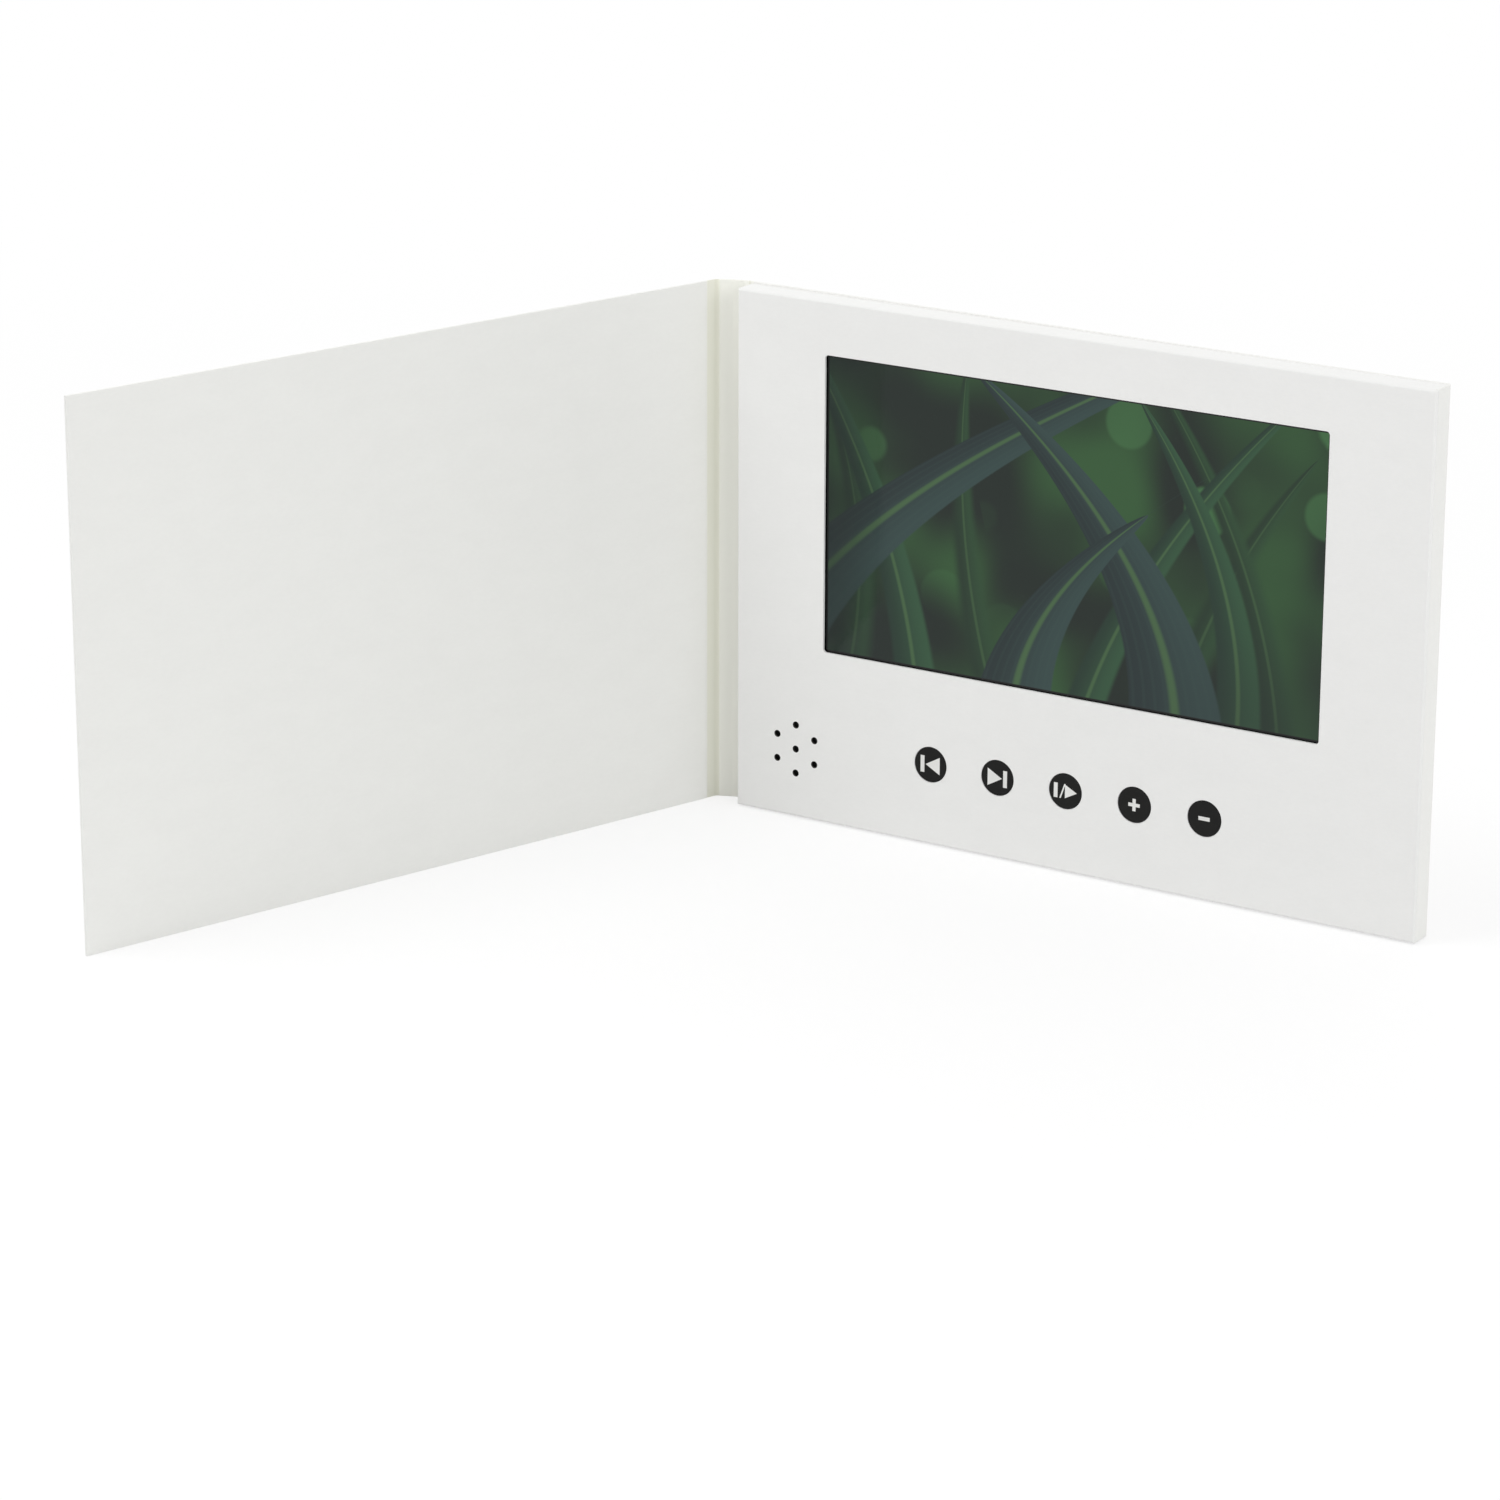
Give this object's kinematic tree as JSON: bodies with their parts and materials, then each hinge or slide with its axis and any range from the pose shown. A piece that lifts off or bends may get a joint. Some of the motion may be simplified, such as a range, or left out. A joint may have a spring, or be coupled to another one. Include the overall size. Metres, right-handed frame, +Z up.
{
  "type": "video brochure",
  "caption": "Folding white card brochure with a hinged front cover, a spine and a slim video player behind its back cover's face panel.",
  "frame": {"origin": "under the middle of the standing, half open brochure, on the surface it stands on", "axes": "+Z up along the spine, +X along the module from spine to fore edge, -Y out of the screen"},
  "size_m": [0.2844, 0.2038, 0.149],
  "materials": {
    "cover_sheet": "matt laminated white printed sheet",
    "card_core": "raw cream cut edge",
    "face_card": "matt white card, faint fibre",
    "greyboard": "die-cut grey board",
    "display_steel": "rolled display frame",
    "screen_glass": "glossy display glass",
    "light_guide": "lit display picture, emissive",
    "adhesive_film": "double-sided film",
    "flex_ribbon": "amber polyimide ribbon",
    "circuit_board": "green solder mask",
    "foam": "closed-cell foam",
    "chip_resin": "moulded chip resin",
    "nickel_can": "nickel plated can",
    "connector_plastic": "natural nylon",
    "port_steel": "tinned drawn steel",
    "port_plastic": "black moulded tongue",
    "contact_metal": "gold flashed contacts",
    "key_plastic": "satin black cap with pale sign",
    "stem_plastic": "moulded stem",
    "switch_plastic": "glass filled nylon",
    "pouch_foil": "laminated pouch",
    "wire_jacket": "wire insulation",
    "speaker_plastic": "moulded basket",
    "magnet_nickel": "nickel plated magnet",
    "diaphragm_film": "formed film diaphragm"
  },
  "bodies": {
    "module": {"back_outer_sheet": "cover_sheet", "back_board": "card_core", "back_liner": "cover_sheet", "face_panel": "face_card", "spacer_frame": "greyboard", "display_frame": "display_steel", "display_tape": "adhesive_film", "display_glass": "screen_glass", "display_backlight": "light_guide", "display_ribbon": "flex_ribbon", "ribbon_socket": "connector_plastic", "main_board": "circuit_board", "board_pad": "foam", "processor": "chip_resin", "flash_memory": "chip_resin", "crystal": "nickel_can", "audio_amplifier": "chip_resin", "charger_chip": "chip_resin", "battery_connector": "connector_plastic", "sensor_connector": "connector_plastic", "port_shell": "port_steel", "port_tongue": "port_plastic", "port_contacts": "contact_metal", "switch_previous": "switch_plastic", "switch_next": "switch_plastic", "switch_play": "switch_plastic", "switch_plus": "switch_plastic", "switch_minus": "switch_plastic", "battery_cell": "pouch_foil", "protection_board": "circuit_board", "battery_tape": "adhesive_film", "battery_leads": "wire_jacket", "speaker_gasket": "foam", "speaker_basket": "speaker_plastic", "speaker_magnet": "magnet_nickel", "speaker_leads": "wire_jacket", "hall_sensor": "chip_resin", "sensor_board": "circuit_board", "sensor_lead": "wire_jacket"},
    "spine": {"spine_outer_sheet": "cover_sheet", "spine_board": "card_core", "spine_liner": "cover_sheet"},
    "front_cover": {"front_outer_sheet": "cover_sheet", "front_board": "card_core", "front_liner": "cover_sheet", "cover_magnet": "magnet_nickel"},
    "button_previous": {"key_previous": "key_plastic", "stem_previous": "stem_plastic"},
    "button_next": {"key_next": "key_plastic", "stem_next": "stem_plastic"},
    "button_play": {"key_play": "key_plastic", "stem_play": "stem_plastic"},
    "button_plus": {"key_plus": "key_plastic", "stem_plus": "stem_plastic"},
    "button_minus": {"key_minus": "key_plastic", "stem_minus": "stem_plastic"},
    "speaker_diaphragm": {"speaker_cone": "diaphragm_film"}
  },
  "joints": [
    {"name": "back_crease", "type": "hinge", "parent": "module", "child": "spine", "pos_m": [-0.06903, 0.10186, 0.0005], "axis": [0, 0, 1], "range_deg": [-20, 70]},
    {"name": "front_crease", "type": "hinge", "parent": "spine", "child": "front_cover", "pos_m": [-0.07833, 0.09847, 0.0005], "axis": [0, 0, 1], "range_deg": [-52.3, 37.7]},
    {"name": "press_previous", "type": "slide", "parent": "module", "child": "button_previous", "axis": [0, 1, 0], "range_m": [0, 0.0003], "stiffness_N_per_m": 1500, "springref_m": -0.0003},
    {"name": "press_next", "type": "slide", "parent": "module", "child": "button_next", "axis": [0, 1, 0], "range_m": [0, 0.0003], "stiffness_N_per_m": 1500, "springref_m": -0.0003},
    {"name": "press_play", "type": "slide", "parent": "module", "child": "button_play", "axis": [0, 1, 0], "range_m": [0, 0.0003], "stiffness_N_per_m": 1500, "springref_m": -0.0003},
    {"name": "press_plus", "type": "slide", "parent": "module", "child": "button_plus", "axis": [0, 1, 0], "range_m": [0, 0.0003], "stiffness_N_per_m": 1500, "springref_m": -0.0003},
    {"name": "press_minus", "type": "slide", "parent": "module", "child": "button_minus", "axis": [0, 1, 0], "range_m": [0, 0.0003], "stiffness_N_per_m": 1500, "springref_m": -0.0003},
    {"name": "diaphragm_swing", "type": "slide", "parent": "module", "child": "speaker_diaphragm", "axis": [0, 1, 0], "range_m": [-0.0002, 0.0002], "stiffness_N_per_m": 600}
  ]
}
